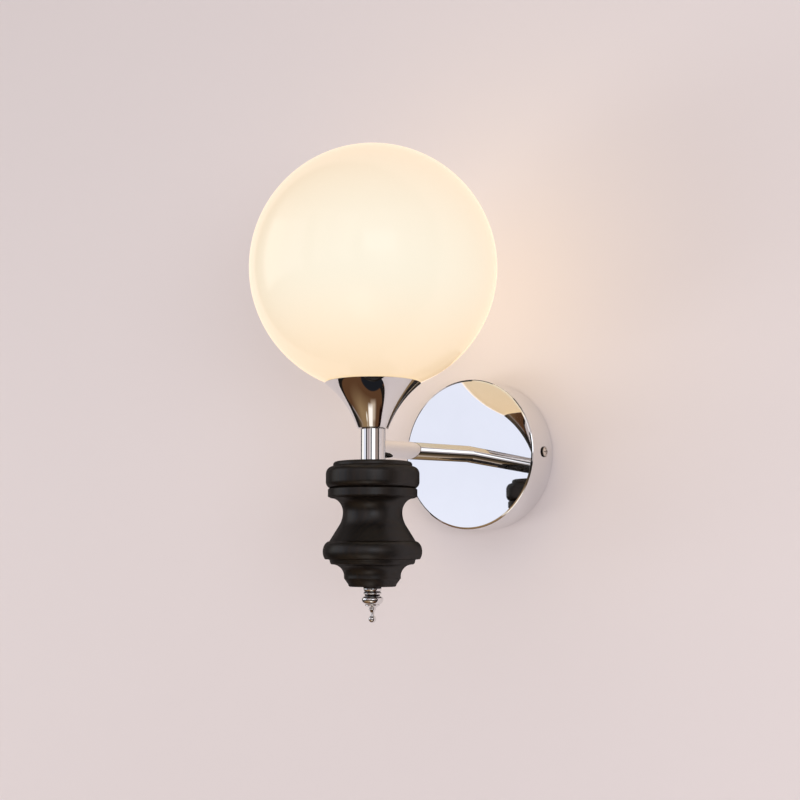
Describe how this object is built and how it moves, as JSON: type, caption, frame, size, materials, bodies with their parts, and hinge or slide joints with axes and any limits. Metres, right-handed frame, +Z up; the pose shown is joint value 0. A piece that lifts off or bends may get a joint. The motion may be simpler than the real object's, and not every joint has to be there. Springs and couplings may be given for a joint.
{
  "type": "wall sconce",
  "caption": "Wall light with an opal glass globe on a metal trumpet, a straight arm from a round mirror canopy, and a turned dark wood drop with a small finial.",
  "frame": {"origin": "centre of the bracket's slots and of the canopy's open back, in the plane of the wall", "axes": "+Z up, +Y into the wall, +X to the right of someone who faces the wall"},
  "size_m": [0.15, 0.2055, 0.2866],
  "materials": {
    "canopy_chrome": "mirror polished plate",
    "chrome": "polished plate on tube and turned brass",
    "nickel": "bright nickel",
    "zinc_steel": "zinc plated pressed steel",
    "brass": "plain machined brass",
    "aluminium": "turned aluminium",
    "opal_glass": "opal white glass, polished outside, lit warm",
    "bulb_glass": "frosted envelope",
    "dark_wood": "black-brown stain under satin lacquer, turned",
    "ceramic": "white steatite ceramic",
    "terminal_nylon": "moulded nylon",
    "silicone": "translucent silicone",
    "light_board": "ceramic board with light chips",
    "brown_sleeve": "silicone sleeve",
    "blue_sleeve": "silicone sleeve",
    "green_sleeve": "green and yellow sleeve"
  },
  "bodies": {
    "fixture": {"wall_bracket": "zinc_steel", "earth_screw": "zinc_steel", "terminal_block": "terminal_nylon", "terminal_tubes": "brass", "terminal_screws": "zinc_steel", "terminal_fixings": "zinc_steel", "canopy": "canopy_chrome", "backing_plate": "zinc_steel", "canopy_nipple": "brass", "lock_washer": "zinc_steel", "earth_tags": "nickel", "canopy_nut": "brass", "arm": "chrome", "arm_end_nipple": "brass", "coupler": "brass", "stem": "chrome", "lamp_nipple": "brass", "trumpet": "chrome", "gallery_spacer": "brass", "gallery": "aluminium", "gallery_nut": "brass", "holder_strap": "zinc_steel", "lampholder": "ceramic", "holder_rivets": "nickel", "holder_contacts": "brass", "lead_live": "brown_sleeve", "lead_neutral": "blue_sleeve", "lead_earth": "green_sleeve", "tie_rod": "zinc_steel", "wood_cap": "dark_wood", "wood_baluster": "dark_wood"},
    "canopy_screw_right": {"canopy_screw_right": "nickel"},
    "canopy_screw_left": {"canopy_screw_left": "nickel"},
    "neck_ring": {"gasket": "silicone"},
    "globe": {"globe": "opal_glass"},
    "bulb": {"bulb_base": "ceramic", "bulb_pins": "nickel", "bulb_column": "light_board", "bulb_envelope": "bulb_glass"},
    "collar": {"finial_collar": "chrome"},
    "finial": {"finial": "chrome"}
  },
  "joints": [
    {"name": "globe_climb", "type": "slide", "parent": "fixture", "child": "neck_ring", "axis": [0, 0, 1], "range_m": [0, 0.0061]},
    {"name": "globe_turn", "type": "hinge", "parent": "neck_ring", "child": "globe", "pos_m": [0, -0.1305, 0], "axis": [0, 0, 1], "range_deg": [0, 540]},
    {"name": "bulb_pull", "type": "slide", "parent": "fixture", "child": "bulb", "axis": [0, 0, 1], "range_m": [0, 0.012]},
    {"name": "finial_drop", "type": "slide", "parent": "fixture", "child": "collar", "axis": [0, 0, -1], "range_m": [0, 0.0041]},
    {"name": "finial_turn", "type": "hinge", "parent": "collar", "child": "finial", "pos_m": [0, -0.1305, -0.08], "axis": [0, 0, -1], "range_deg": [0, 1440]},
    {"name": "right_screw_out", "type": "slide", "parent": "fixture", "child": "canopy_screw_right", "axis": [1, 0, 0], "range_m": [0, 0.008]},
    {"name": "left_screw_out", "type": "slide", "parent": "fixture", "child": "canopy_screw_left", "axis": [-1, 0, 0], "range_m": [0, 0.008]}
  ],
  "couplings": [
    {"joint": "globe_climb", "follows": "globe_turn", "m_per_rad": 0.00063662},
    {"joint": "finial_drop", "follows": "finial_turn", "m_per_rad": 0.00015915}
  ]
}
